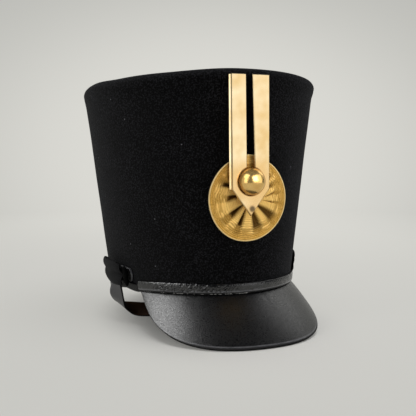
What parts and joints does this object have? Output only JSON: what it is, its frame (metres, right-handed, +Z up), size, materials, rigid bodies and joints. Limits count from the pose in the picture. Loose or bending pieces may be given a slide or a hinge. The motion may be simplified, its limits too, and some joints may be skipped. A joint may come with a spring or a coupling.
{
  "type": "shako hat",
  "caption": "Tall flared felt shako with a leather visor, side bows, a chin strap, and a pleated cockade under a brass plate with a button.",
  "frame": {"origin": "centre of the hat's footprint on the table it stands on", "axes": "+X to the wearer's left, -Y to the front where the visor is, +Z up"},
  "size_m": [0.217, 0.255, 0.2239],
  "materials": {
    "felt_black": "matt wool felt",
    "leather_black": "satin",
    "leather_strap": "satin, brown on its inner side",
    "ribbon_black": "matt grosgrain ribbon",
    "satin_black": "satin",
    "gold_ribbon": "woven metallic thread",
    "polished_brass": "polished, lightly tarnished"
  },
  "bodies": {
    "root": {"crown": "felt_black", "visor": "leather_black", "visor_band": "leather_black", "rim_binding": "leather_black", "chin_strap": "leather_strap", "bow_left": "ribbon_black", "bow_right": "ribbon_black", "bow_knot_left": "satin_black", "bow_knot_right": "satin_black", "side_tab_left": "leather_black", "side_tab_right": "leather_black", "cockade": "gold_ribbon", "cockade_plate": "polished_brass", "button": "polished_brass"}
  },
  "joints": []
}
